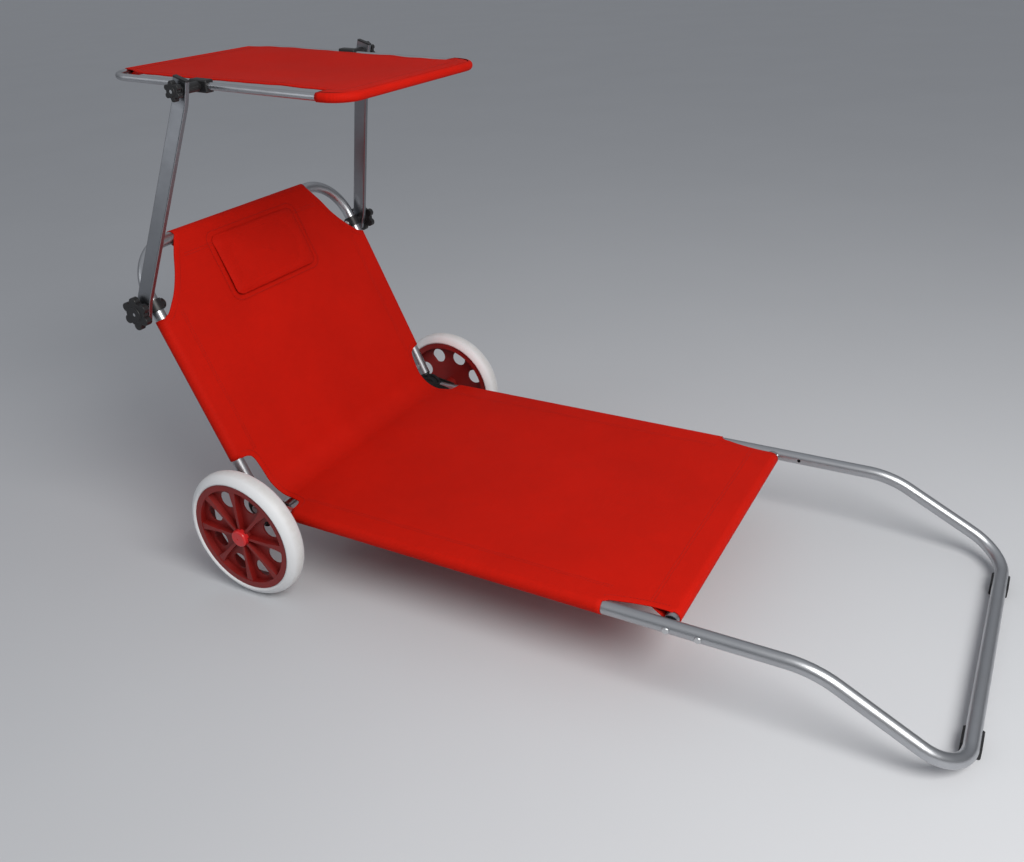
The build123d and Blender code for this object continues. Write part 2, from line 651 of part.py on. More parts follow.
# ================================================================ canopy arms and knobs
def canopy_arms():
    flat = [(-ARM_TOE, arm_low_y), (ARM_LAND, arm_low_y), (ARM_LENGTH - ARM_LAND, arm_top_y),
            (ARM_LENGTH + ARM_TOE, arm_top_y)]
    points = [low_pivot + arm_dir * along + across * y for along, y in flat]
    with BuildPart() as arm:
        with BuildLine() as path:
            FilletPolyline(*points, radius=ARM_BEND)
        with BuildSketch(Plane(origin=path.line @ 0, x_dir=arm_across, z_dir=path.line % 0)):
            RectangleRounded(ARM_W, ARM_T, ARM_ROUND)
            RectangleRounded(ARM_W - 2 * ARM_WALL, ARM_T - 2 * ARM_WALL, ARM_ROUND / 2,
                             mode=Mode.SUBTRACT)
        sweep(path=path.line)
        for pivot in (low_pivot, top_pivot):
            drill(pivot, bolt_r + RUN)
    keep_pair(arm, "canopy_arm")
    plug_in = ARM_WALL + SLIP
    with BuildPart() as caps:
        for point, outwards in ((points[0], arm_dir * -1), (points[-1], arm_dir)):
            end = Plane(origin=point, x_dir=arm_across, z_dir=outwards)
            with BuildSketch(end):
                RectangleRounded(ARM_W, ARM_T, ARM_ROUND)
            extrude(amount=ARM_CAP_T)
            with BuildSketch(end):
                RectangleRounded(ARM_W - 2 * plug_in, ARM_T - 2 * plug_in, ARM_ROUND * 0.4)
            extrude(amount=-ARM_CAP_PLUG)
    keep_both(caps, "arm_caps")
    with BuildPart() as washers:
        for pivot, face in ((low_pivot, arm_low_in + ARM_T), (top_pivot, arm_top_in + ARM_T)):
            rod(pivot, face, face + ARM_WASHER_T, ARM_WASHER_R)
            rod(pivot, face, face + ARM_WASHER_T, bolt_r + RUN, mode=Mode.SUBTRACT)
    keep_both(washers, "arm_washers")


def star_knob(pivot, arm_in, radius, thickness, name):
    """A lobed knob on the bolt, with a round neck towards the arm."""
    start = arm_in + arm_to_knob
    lobe_r = radius * KNOB_LOBE
    star_from = start + thickness * KNOB_NECK_L
    with BuildPart() as knob:
        rod(pivot, start, start + thickness, radius * KNOB_NECK)
        with BuildSketch(Plane(origin=(pivot.X, star_from, pivot.Z), z_dir=(0, 1, 0))):
            Circle(radius * KNOB_CORE)
            with PolarLocations(radius - lobe_r, KNOB_LOBES):
                Circle(lobe_r)
        extrude(amount=thickness * KNOB_STAR_T)
        star_face = knob.faces().filter_by(Axis.Y).sort_by(Axis.Y)[-2]
        fillet(star_face.edges().filter_by(lambda edge: edge.length > 1), thickness * KNOB_ROUND)
        drill(pivot, bolt_r + RUN)
    keep_pair(knob, name)


# ================================================================ canopy
def canopy_frame():
    for name, start, end in (("canopy_front_tube", CLAMP_CORE_HALF, CANOPY_FRONT),
                             ("canopy_rear_tube", -CLAMP_CORE_HALF, -CANOPY_REAR)):
        left = [on_canopy(start, canopy_y), on_canopy(end, canopy_y)]
        right = [point - across * (2 * canopy_y) for point in reversed(left)]
        tube = bent_tube(left + right, [CANOPY_CORNER, CANOPY_CORNER], canopy_tube_r, canopy_bore_r)
        keep(tube, name)


def canopy_clamps():
    head_seat = canopy_y - CLAMP_BLOCK_IN
    with BuildPart() as clamp:
        with Locations(Plane(origin=on_canopy(0, canopy_y), x_dir=canopy_dir, z_dir=canopy_up)):
            Box(CLAMP_BLOCK_L, 2 * CLAMP_BLOCK_IN, CLAMP_BLOCK_H)
        fillet(clamp.edges(), CLAMP_ROUND)
        rod(top_pivot, canopy_y, arm_top_in - SEAT_GAP, CLAMP_BOSS_R)
        for side in (1, -1):
            bar(on_canopy(side * CLAMP_CORE_HALF, canopy_y), on_canopy(side * CLAMP_BLOCK_L, canopy_y),
                canopy_tube_r + DRILL, mode=Mode.SUBTRACT)
        drill(top_pivot, bolt_r + DRILL)
    keep_pair(clamp, "canopy_clamp")
    knob_end = arm_top_in + arm_to_knob + TOP_KNOB_T
    with BuildPart() as bolt:
        rod(top_pivot, head_seat - CLAMP_HEAD_T, head_seat, CLAMP_HEAD_R)
        rod(top_pivot, head_seat, knob_end - BOLT_BELOW_KNOB, bolt_r)
    keep_both(bolt, "canopy_bolts")


# ================================================================ cloth
def both_halves(points):
    """A list of points along one side, then their mirror images back again."""
    return points + [(x, -y) for x, y in reversed(points)]


def sling(plane, edge, hem_at, hem_half, sleeve_from, sleeve_to, on_frame, name):
    """A sheet over the two rails: a flat panel, a sleeve on each rail and a hem on the end tube."""
    folds = [(on_frame(sleeve_from, side * rail_y), on_frame(sleeve_to, side * rail_y))
             for side in (1, -1)]
    folds.append((on_frame(hem_at, -hem_half), on_frame(hem_at, hem_half)))
    with BuildPart() as cloth:
        with BuildSketch(plane):
            with BuildLine():
                Polyline(*both_halves(edge), close=True)
            make_face()
        extrude(amount=CLOTH_T)
        for start, end in folds:
            bar(start, end, cloth_out)
        for start, end in folds:
            bar(start, end, cloth_in, mode=Mode.SUBTRACT)
    keep(cloth, name)


def seat_sling():
    plane = Plane(origin=on_seat(0, 0, cloth_in), x_dir=seat_dir, z_dir=seat_up)
    edge = [(HIP_CLOTH_START, notch_y), (SEAT_SLEEVE_FROM - NOTCH_RAMP, notch_y),
            (SEAT_SLEEVE_FROM, rail_y), (seat_sleeve_to, rail_y)]
    edge += [(seat_sleeve_to + past, rail_y - inwards) for past, inwards in FOOT_EDGE]
    edge += [(crossbar_at, foot_hem_half)]
    sling(plane, edge, crossbar_at, foot_hem_half, SEAT_SLEEVE_FROM, seat_sleeve_to, on_seat,
          "seat_sling")


def backrest_sling():
    plane = Plane(origin=on_back(0, 0, cloth_in), x_dir=back_dir, z_dir=back_up)
    edge = [(HIP_CLOTH_START, notch_y), (BACK_SLEEVE_FROM - NOTCH_RAMP, notch_y),
            (BACK_SLEEVE_FROM, rail_y), (back_sleeve_to, rail_y)]
    edge += [(back_sleeve_to + past, rail_y - inwards) for past, inwards in HEAD_EDGE]
    edge += [(BACK_LENGTH - TOP_HEM_FLAT, top_hem_half), (BACK_LENGTH, top_hem_half)]
    sling(plane, edge, BACK_LENGTH, top_hem_half, BACK_SLEEVE_FROM, back_sleeve_to, on_back,
          "backrest_sling")


def head_pillow():
    low = Plane(origin=on_back(pillow_mid, 0, cloth_out + SEAT_GAP), x_dir=back_dir, z_dir=back_up)
    with BuildPart() as pillow:
        with BuildSketch(low):
            RectangleRounded(PILLOW_L, PILLOW_W, PILLOW_CORNER)
        extrude(amount=PILLOW_T)
        upwards = Axis(origin=(0, 0, 0), direction=tuple(back_up))
        fillet(pillow.faces().sort_by(upwards)[-1].edges(), PILLOW_ROUND)
    keep(pillow, "head_pillow")


def canopy_sheet():
    """A sheet over the canopy frame: a pocket on the rear tube and one round the front corners."""
    rear_half = canopy_y - CANOPY_CORNER
    side_y = canopy_y - CLAMP_BLOCK_IN - SHEET_GAP
    hem = (on_canopy(-CANOPY_REAR, -rear_half), on_canopy(-CANOPY_REAR, rear_half))
    edge = [(-CANOPY_REAR, rear_half)]
    edge += [(ahead - CANOPY_REAR, rear_half + outwards) for ahead, outwards in SHEET_REAR]
    edge += [(0, side_y - SHEET_DIP), (pocket_from, side_y - SHEET_FRONT_IN)]
    with BuildPart() as pocket:
        with BuildLine() as path:
            FilletPolyline(on_canopy(pocket_from, canopy_y), on_canopy(CANOPY_FRONT, canopy_y),
                           on_canopy(CANOPY_FRONT, -canopy_y), on_canopy(pocket_from, -canopy_y),
                           radius=CANOPY_CORNER)
        with BuildSketch(Plane(origin=path.line @ 0, z_dir=path.line % 0)):
            Circle(canopy_cloth_out)
        sweep(path=path.line)
    with BuildPart() as pocket_bore:
        with BuildSketch(Plane(origin=path.line @ 0, z_dir=path.line % 0)):
            Circle(canopy_cloth_in)
        sweep(path=path.line)
    sheet_plane = Plane(origin=on_canopy(0, 0, canopy_cloth_in), x_dir=canopy_dir, z_dir=canopy_up)
    with BuildPart() as sheet:
        with BuildSketch(sheet_plane) as sheet_face:
            with BuildLine():
                Polyline(*both_halves(edge), close=True)
            make_face()
            with Locations((pocket_from, 0)):
                Rectangle(CANOPY_FRONT - pocket_from, 2 * canopy_y, align=(Align.MIN, Align.CENTER))
            fillet(sheet_face.vertices().group_by(Axis.X)[-1], CANOPY_CORNER)
        extrude(amount=CLOTH_T)
        add(pocket.part)
        bar(*hem, canopy_cloth_out)
        add(pocket_bore.part, mode=Mode.SUBTRACT)
        bar(*hem, canopy_cloth_in, mode=Mode.SUBTRACT)
    keep(sheet, "canopy_sheet")


seat_rails()
handle()
handle_spigots()
crossbar()
rail_screws()
foot_pads()
hip_hinges()
axle_parts()
tyre()
hub()
hub_cap()
backrest_tube()
canopy_collars()
canopy_arms()
star_knob(low_pivot, arm_low_in, LOW_KNOB_R, LOW_KNOB_T, "low_knob")
star_knob(top_pivot, arm_top_in, TOP_KNOB_R, TOP_KNOB_T, "top_knob")
canopy_frame()
canopy_clamps()
seat_sling()
backrest_sling()
head_pillow()
canopy_sheet()
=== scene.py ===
"""Beach cart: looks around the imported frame. Metres, +X to the foot, +Y to the sitter's left, +Z up.

The tubes, hinges, wheels and knobs are the CAD's own nodes with procedural finishes. The sling, the
canopy sheet and the head pillow are sewn pieces built here in mesh code, with their stitches.
"""
import json
import math

import bpy
import numpy as np
from mathutils import Matrix, Vector, noise


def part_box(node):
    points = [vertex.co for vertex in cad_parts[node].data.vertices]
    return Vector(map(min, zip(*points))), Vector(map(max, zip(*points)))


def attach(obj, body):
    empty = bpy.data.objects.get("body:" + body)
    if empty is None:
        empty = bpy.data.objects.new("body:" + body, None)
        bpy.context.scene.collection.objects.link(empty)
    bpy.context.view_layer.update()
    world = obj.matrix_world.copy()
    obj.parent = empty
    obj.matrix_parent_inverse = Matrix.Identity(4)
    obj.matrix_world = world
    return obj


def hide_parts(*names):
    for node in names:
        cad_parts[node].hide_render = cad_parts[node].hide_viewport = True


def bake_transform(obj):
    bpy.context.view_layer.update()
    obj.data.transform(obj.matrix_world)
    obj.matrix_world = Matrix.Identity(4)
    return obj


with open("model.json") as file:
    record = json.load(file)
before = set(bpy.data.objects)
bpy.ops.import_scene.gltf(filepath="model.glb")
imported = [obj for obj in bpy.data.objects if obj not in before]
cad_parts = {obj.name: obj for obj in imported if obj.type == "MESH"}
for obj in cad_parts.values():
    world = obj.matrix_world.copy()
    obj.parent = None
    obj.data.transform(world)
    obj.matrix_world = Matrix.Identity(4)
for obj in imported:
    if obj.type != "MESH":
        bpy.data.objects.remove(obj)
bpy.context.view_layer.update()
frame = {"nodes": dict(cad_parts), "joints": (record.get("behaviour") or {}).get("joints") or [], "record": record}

# ---- places from the frame
JOINT_AT = {joint["name"]: Vector(joint["pos_m"]) for joint in frame["joints"]}
ACROSS = Vector((0, 1, 0))
hip = JOINT_AT["backrest_recline"]
axle = JOINT_AT["wheel_left_spin"]
low_pivot = JOINT_AT["canopy_swing"]
top_pivot = JOINT_AT["canopy_tilt"]


def middle(node):
    low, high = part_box(node)
    return (low + high) / 2


rail_low, rail_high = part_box("seat_rail_left")
rail_y = (rail_low.y + rail_high.y) / 2
tube_r = (rail_high.y - rail_low.y) / 2
crossbar = middle("seat_crossbar")
seat_dir = (crossbar - hip).normalized()
seat_up = Vector((-seat_dir.z, 0, seat_dir.x))
back_dir = (low_pivot - hip).normalized()
back_up = Vector((back_dir.z, 0, -back_dir.x))
crossbar_at = (crossbar - hip).length
top_tube_at = (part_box("backrest_tube")[1].z - tube_r - hip.z) / back_dir.z

front_low, front_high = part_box("canopy_front_tube")
canopy_r = 0.006                # radius of the canopy's tubes
front_bar = Vector((front_high.x - canopy_r, 0, front_low.z + canopy_r))
canopy_y = front_high.y - canopy_r
canopy_dir = (front_bar - top_pivot).normalized()
canopy_up = Vector((-canopy_dir.z, 0, canopy_dir.x))
canopy_front_at = (front_bar - top_pivot).length
canopy_rear_at = (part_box("canopy_rear_tube")[0].x + canopy_r - top_pivot.x) / canopy_dir.x

# ---- cloth sizes
CLOTH_T = 0.0010
CLOTH_CLEAR = 0.0009            # tube to the middle of the cloth
SEAM_IN = 0.034                 # tube's centreline to the seam that closes its sleeve
SEAT_SLEEVE = (0.077, 0.677)    # from the hip, along the seat
BACK_SLEEVE = (0.096, 0.372)
SEAM_GAP = 0.005                # between the two lines of a double seam
SEAM_TAIL = 0.006               # cloth beyond the seam
SEAM_STEP = 0.020               # between the points that a straight seam is drawn through
NOTCH_Y = 0.262                 # half width where the edge is cut away from the tubes
HIP_NOTCH_Y = 0.248
HEM = 0.013
HEM_R = 0.0008
HEM_STITCH_IN = 0.0095
FOLD_R = 0.060                  # bend of the cloth at the hip
ROW = 0.009                     # spacing of the cloth's rows
COLUMNS = 56
THREAD_R = 0.00042
STITCH = 0.0036
STITCH_GAP = 0.0011
WEAVE_PITCH = 0.0011


def on_seat(along, y=0.0, up=0.0):
    return hip + seat_dir * along + ACROSS * y + seat_up * up


def on_back(along, y=0.0, up=0.0):
    return hip + back_dir * along + ACROSS * y + back_up * up


def on_canopy(along, y=0.0, up=0.0):
    return top_pivot + canopy_dir * along + ACROSS * y + canopy_up * up


# ================================================================ materials
def new_material(name, **sockets):
    """A principled material. Sockets are named with underscores for spaces."""
    material = bpy.data.materials.new(name)
    material.use_nodes = True
    tree = material.node_tree
    shader = tree.nodes["Principled BSDF"]
    for socket, value in sockets.items():
        shader.inputs[socket.replace("_", " ")].default_value = value
    return material, tree, shader


def add_node(tree, kind, **settings):
    made = tree.nodes.new(kind)
    for key, value in settings.items():
        if key in made.inputs:
            made.inputs[key].default_value = value
        else:
            setattr(made, key, value)
    return made


def coordinates(tree, stretch=(1, 1, 1), uv=None):
    """Object coordinates, or a UV map in metres, stretched."""
    if uv:
        source = add_node(tree, "ShaderNodeUVMap", uv_map=uv).outputs["UV"]
    else:
        source = tree.nodes.new("ShaderNodeTexCoord").outputs["Object"]
    mapping = tree.nodes.new("ShaderNodeMapping")
    mapping.inputs["Scale"].default_value = stretch
    tree.links.new(source, mapping.inputs["Vector"])
    return mapping.outputs["Vector"]


def noise_map(tree, vector, scale, detail=3.0, roughness=0.55):
    made = add_node(tree, "ShaderNodeTexNoise", Scale=scale, Detail=detail, Roughness=roughness)
    tree.links.new(vector, made.inputs["Vector"])
    return made.outputs["Fac"]


def ramp(tree, value, *stops):
    """Maps a value to colours at stops of (place, colour)."""
    made = tree.nodes.new("ShaderNodeValToRGB")
    elements = made.color_ramp.elements
    while len(elements) < len(stops):
        elements.new(0.5)
    for element, (place, colour) in zip(elements, stops):
        element.position = place
        element.color = (*colour, 1) if len(colour) == 3 else colour
    tree.links.new(value, made.inputs["Fac"])
    return made.outputs["Color"]


def spread(tree, value, low, high):
    """Maps 0.3 to 0.7, where a noise texture mostly lies, to low and high."""
    made = add_node(tree, "ShaderNodeMapRange")
    for socket, number in (("From Min", 0.3), ("From Max", 0.7), ("To Min", low), ("To Max", high)):
        made.inputs[socket].default_value = number
    tree.links.new(value, made.inputs["Value"])
    return made.outputs["Result"]


def maths(tree, operation, first, second):
    made = add_node(tree, "ShaderNodeMath", operation=operation)
    for socket, value in zip(made.inputs, (first, second)):
        if isinstance(value, (int, float)):
            socket.default_value = value
        else:
            tree.links.new(value, socket)
    return made.outputs["Value"]


def tint(tree, colour, value, low, high):
    """A colour made darker or lighter by a value."""
    made = tree.nodes.new("ShaderNodeHueSaturation")
    made.inputs["Color"].default_value = (*colour, 1)
    tree.links.new(spread(tree, value, low, high), made.inputs["Value"])
    return made.outputs["Color"]


def relief(tree, shader, height, strength, distance):
    bump = add_node(tree, "ShaderNodeBump", Strength=strength, Distance=distance)
    tree.links.new(height, bump.inputs["Height"])
    tree.links.new(bump.outputs["Normal"], shader.inputs["Normal"])


def metal(name, colour, rough_low, rough_high, grain=900.0, wear=0.12):
    """Plated or painted metal: fine grain and smudges."""
    material, tree, shader = new_material(name, Metallic=1.0)
    place = coordinates(tree)
    smudge = noise_map(tree, place, 14.0, 5.0, 0.6)
    fine = noise_map(tree, place, grain, 2.0)
    tree.links.new(tint(tree, colour, smudge, 1.0 - wear, 1.0 + wear / 3), shader.inputs["Base Color"])
    tree.links.new(spread(tree, smudge, rough_high, rough_low), shader.inputs["Roughness"])
    relief(tree, shader, fine, 0.12, 0.0002)
    return material


def drawn_tube(name, colour):
    """Satin aluminium tube with fine lines drawn along each main direction."""
    material, tree, shader = new_material(name, Metallic=1.0)
    smudge = noise_map(tree, coordinates(tree), 11.0, 5.0, 0.62)
    lines = noise_map(tree, coordinates(tree, (6, 700, 700)), 1.0, 2.0)
    cross = noise_map(tree, coordinates(tree, (500, 9, 500)), 1.0, 2.0)
    scratches = noise_map(tree, coordinates(tree, (25, 25, 25)), 16.0, 8.0, 0.8)
    height = maths(tree, "ADD", maths(tree, "MULTIPLY", lines, 0.6), maths(tree, "MULTIPLY", cross, 0.4))
    tree.links.new(tint(tree, colour, smudge, 0.86, 1.03), shader.inputs["Base Color"])
    rough = maths(tree, "ADD", spread(tree, smudge, 0.40, 0.27), spread(tree, scratches, 0.0, 0.05))
    tree.links.new(rough, shader.inputs["Roughness"])
    relief(tree, shader, height, 0.10, 0.0003)
    return material


def plastic(name, colour, rough_low, rough_high, grain, coat=0.0, bump=0.18):
    """Moulded plastic: a fine spark-eroded grain, with handling marks in its gloss."""
    material, tree, shader = new_material(name, Coat_Weight=coat, Coat_Roughness=0.12)
    place = coordinates(tree)
    cloud = noise_map(tree, place, 22.0, 4.0, 0.6)
    fine = noise_map(tree, place, grain, 3.0, 0.6)
    tree.links.new(tint(tree, colour, cloud, 0.85, 1.12), shader.inputs["Base Color"])
    tree.links.new(spread(tree, cloud, rough_low, rough_high), shader.inputs["Roughness"])
    relief(tree, shader, fine, bump, 0.0003)
    return material


TREAD_CLEAN_R = 0.1195           # the tyre is clean inside this, and dusty beyond the next
TREAD_DUSTY_R = 0.1225
TREAD_DUST = (0.55, 0.54, 0.52)


def rubber(name, colour):
    """White foamed tyre: matt, with fine pores, and grey dust on the tread away from the axle."""
    material, tree, shader = new_material(name, Sheen_Weight=0.08, Sheen_Roughness=0.6)
    place = coordinates(tree)
    pores = noise_map(tree, place, 1400.0, 2.0)
    dust = noise_map(tree, place, 35.0, 6.0, 0.7)
    shift = add_node(tree, "ShaderNodeVectorMath", operation="SUBTRACT")
    shift.inputs[1].default_value = axle
    tree.links.new(coordinates(tree), shift.inputs[0])
    flat = add_node(tree, "ShaderNodeVectorMath", operation="MULTIPLY")
    flat.inputs[1].default_value = (1, 0, 1)
    tree.links.new(shift.outputs["Vector"], flat.inputs[0])
    reach = add_node(tree, "ShaderNodeVectorMath", operation="LENGTH")
    tree.links.new(flat.outputs["Vector"], reach.inputs[0])
    tread = add_node(tree, "ShaderNodeMapRange")
    tread.inputs["From Min"].default_value = TREAD_CLEAN_R
    tread.inputs["From Max"].default_value = TREAD_DUSTY_R
    tree.links.new(reach.outputs["Value"], tread.inputs["Value"])
    worn = maths(tree, "MULTIPLY", tread.outputs["Result"], spread(tree, dust, 0.25, 0.9))
    shade = ramp(tree, worn, (0.0, colour), (1.0, TREAD_DUST))
    tree.links.new(shade, shader.inputs["Base Color"])
    tree.links.new(spread(tree, dust, 0.50, 0.66), shader.inputs["Roughness"])
    relief(tree, shader, pores, 0.15, 0.0003)
    return material


def canvas(name, colour, uv="weave", pitch=WEAVE_PITCH):
    """Tight plain weave.

    Threads go over and under each other in a checker, painted shade darkens the dips between them, and slubs and
    fading vary the colour."""
    material, tree, shader = new_material(name, Sheen_Weight=0.05, Sheen_Roughness=0.5)
    shader.inputs["Sheen Tint"].default_value = (1.0, 0.10, 0.05, 1)
    shader.inputs["Specular IOR Level"].default_value = 0.10
    place = coordinates(tree, uv=uv)
    wave_scale = math.pi / 10 / (2 * pitch)
    threads = []
    for direction in ("X", "Y"):
        wave = add_node(tree, "ShaderNodeTexWave", Scale=wave_scale, bands_direction=direction)
        tree.links.new(place, wave.inputs["Vector"])
        threads.append(wave.outputs["Fac"])
    checker = add_node(tree, "ShaderNodeTexChecker", Scale=1 / pitch)
    tree.links.new(place, checker.inputs["Vector"])
    over = add_node(tree, "ShaderNodeMix")
    tree.links.new(checker.outputs["Fac"], over.inputs["Factor"])
    tree.links.new(threads[0], over.inputs["A"])
    tree.links.new(threads[1], over.inputs["B"])
    slub_u = noise_map(tree, coordinates(tree, (30, 900, 1), uv), 1.0, 2.0)
    slub_v = noise_map(tree, coordinates(tree, (900, 30, 1), uv), 1.0, 2.0)
    slubs = maths(tree, "ADD", slub_u, slub_v)
    fading = noise_map(tree, coordinates(tree, uv=uv), 5.0, 4.0, 0.6)
    tone = maths(tree, "ADD", maths(tree, "MULTIPLY", slubs, 0.30), maths(tree, "MULTIPLY", fading, 0.40))
    shade = tint(tree, colour, tone, 0.82, 1.14)
    # painted shade: the colour is darkened by up to 22 percent where the threads dip, along the profile that the
    # bump also raises
    weave_painted_shade = add_node(tree, "ShaderNodeMix", data_type="RGBA", blend_type="MULTIPLY")
    weave_painted_shade.inputs["Factor"].default_value = 0.22
    tree.links.new(shade, weave_painted_shade.inputs["A"])
    tree.links.new(over.outputs["Result"], weave_painted_shade.inputs["B"])
    tree.links.new(weave_painted_shade.outputs["Result"], shader.inputs["Base Color"])
    tree.links.new(spread(tree, slub_u, 0.66, 0.80), shader.inputs["Roughness"])
    height = maths(tree, "ADD", over.outputs["Result"], maths(tree, "MULTIPLY", slubs, 0.8))
    relief(tree, shader, height, 0.35, 0.0004)
    return material


def thread_material(name, colour):
    """Sewing thread: a twisted, slightly glossy cord."""
    material, tree, shader = new_material(name, Sheen_Weight=0.03)
    shader.inputs["Specular IOR Level"].default_value = 0.2
    place = coordinates(tree)
    twist = noise_map(tree, place, 2600.0, 2.0)
    tree.links.new(tint(tree, colour, twist, 0.8, 1.15), shader.inputs["Base Color"])
    tree.links.new(spread(tree, twist, 0.45, 0.60), shader.inputs["Roughness"])
    relief(tree, shader, twist, 0.3, 0.0002)
    return material


RED = (0.58, 0.008, 0.0015)
aluminium = drawn_tube("satin_aluminium", (0.50, 0.51, 0.53))
# a darker copy of the tube aluminium, given to the canopy arms
arms_darker_aluminium = drawn_tube("darker_aluminium_for_arms", (0.27, 0.28, 0.30))
zinc = metal("zinc_plate", (0.62, 0.63, 0.64), 0.28, 0.42)
bracket = metal("dull_bracket_plate", (0.075, 0.070, 0.068), 0.45, 0.60, wear=0.25)
black = plastic("black_nylon", (0.011, 0.011, 0.012), 0.38, 0.52, 1500.0)
hub_red = plastic("hub_red", (0.22, 0.006, 0.004), 0.45, 0.58, 900.0, coat=0.05, bump=0.08)
cap_red = plastic("cap_red", (0.60, 0.016, 0.018), 0.30, 0.42, 700.0, coat=0.25, bump=0.05)
tyre_white = rubber("white_foam_tyre", (0.72, 0.73, 0.74))
canvas_red = canvas("red_canvas", RED)
pillow_red = canvas("red_canvas_pillow", RED)
thread_red = thread_material("red_thread", (0.34, 0.006, 0.002))

FINISHES = {
    "aluminium_tube": aluminium, "zinc_steel": zinc, "bracket_steel": bracket, "black_plastic": black,
    "red_hub_plastic": hub_red, "cap_plastic": cap_red, "white_tyre": tyre_white,
    "red_canvas": canvas_red,
}
ARMS = ("canopy_arm_left", "canopy_arm_right")
for part in frame["record"]["subparts"]:
    node = frame["nodes"][part["node"]]
    node.data.materials.clear()
    finish = arms_darker_aluminium if part["node"] in ARMS else FINISHES[part["material_slot"]]
    node.data.materials.append(finish)


# ================================================================ mesh helpers
class Sheet:
    """Vertices, faces and weave coordinates of one piece of cloth as it is put together."""

    def __init__(self):
        self.points, self.weave, self.faces = [], [], []

    def vertex(self, point, u, v):
        self.points.append(tuple(point))
        self.weave.append((u, v))
        return len(self.points) - 1

    def strip(self, first, second):
        """Faces between two rows of vertex numbers."""
        for i in range(len(first) - 1):
            self.faces.append((first[i], first[i + 1], second[i + 1], second[i]))

    def grow(self, edge, outward, up, flip, profile, weave_step):
        """Continues the sheet from a row of its edge vertices along a profile of (out, up) offsets.

        outward and up give the two directions at each edge vertex."""
        previous = edge
        length = 0.0
        last = (0.0, 0.0)
        for out, rise in profile:
            length += math.dist((out, rise), last)
            last = (out, rise)
            row = []
            for number, along_out, along_up in zip(edge, outward, up):
                base = Vector(self.points[number])
                u, v = self.weave[number]
                step_u, step_v = weave_step
                point = base + along_out * out + along_up * rise
                row.append(self.vertex(point, u + step_u * length, v + step_v * length))
            if flip:
                self.strip(row, previous)
            else:
                self.strip(previous, row)
            previous = row

    def build(self, name, material, thickness=CLOTH_T):
        mesh = bpy.data.meshes.new(name)
        mesh.from_pydata(self.points, [], self.faces)
        layer = mesh.uv_layers.new(name="weave")
        numbers = np.zeros(len(mesh.loops), int)
        mesh.loops.foreach_get("vertex_index", numbers)
        layer.data.foreach_set("uv", np.array(self.weave, np.float32)[numbers].ravel())
        mesh.polygons.foreach_set("use_smooth", [True] * len(mesh.polygons))
        mesh.materials.append(material)
        piece = bpy.data.objects.new(name, mesh)
        bpy.context.scene.collection.objects.link(piece)
        if thickness:
            solid = piece.modifiers.new("thickness", "SOLIDIFY")
            solid.thickness = thickness
            solid.offset = 0.0
        return piece


def wrap_profile(radius, seam_in):
    """Round a tube from its top, out and underneath, then straight up to the seam.

    Each point is (out, up) from the top of the tube."""
    seam_up = radius - 2.2 * CLOTH_T
    reach = math.hypot(seam_in, seam_up)
    seam_angle = math.atan2(-seam_in, seam_up) % (2 * math.pi)
    leave = seam_angle - math.acos(radius / reach)
    steps = 22
    arc = [leave * (i + 1) / steps for i in range(steps)]
    profile = [(radius * math.sin(a), radius * (math.cos(a) - 1)) for a in arc]
    last_out, last_up = profile[-1]
    for share in (0.2, 0.45, 0.7, 0.9, 1.0):
        profile.append((last_out + (-seam_in - last_out) * share,
                        last_up + (seam_up - radius - last_up) * share))
    profile.append((-seam_in - SEAM_TAIL, seam_up - radius))
    return profile


def hem_profile():
    """A raw edge turned under once and sewn down."""
    turn = [math.pi * (i + 1) / 4 for i in range(4)]
    profile = [(HEM_R * math.sin(a), HEM_R * (math.cos(a) - 1)) for a in turn]
    return profile + [(-HEM * share, -2 * HEM_R) for share in (0.3, 0.65, 1.0)]


def smooth_through(points, spacing):
    """Points on a curve through a few given ones (Catmull-Rom), about spacing apart."""
    path = [np.array(p, float) for p in points]
    path = [2 * path[0] - path[1], *path, 2 * path[-1] - path[-2]]
    made = []
    for i in range(1, len(path) - 2):
        p0, p1, p2, p3 = path[i - 1: i + 3]
        steps = max(1, round(float(np.linalg.norm(p2 - p1)) / spacing))
        for k in range(steps):
            t = k / steps
            made.append(0.5 * (2 * p1 + (p2 - p0) * t + (2 * p0 - 5 * p1 + 4 * p2 - p3) * t * t
                               + (3 * p1 - p0 - 3 * p2 + p3) * t ** 3))
    return [tuple(p) for p in made] + [tuple(path[-2])]


def evenly(start, end, spacing):
    steps = max(1, round(abs(end - start) / spacing))
    return [start + (end - start) * i / steps for i in range(steps + 1)]


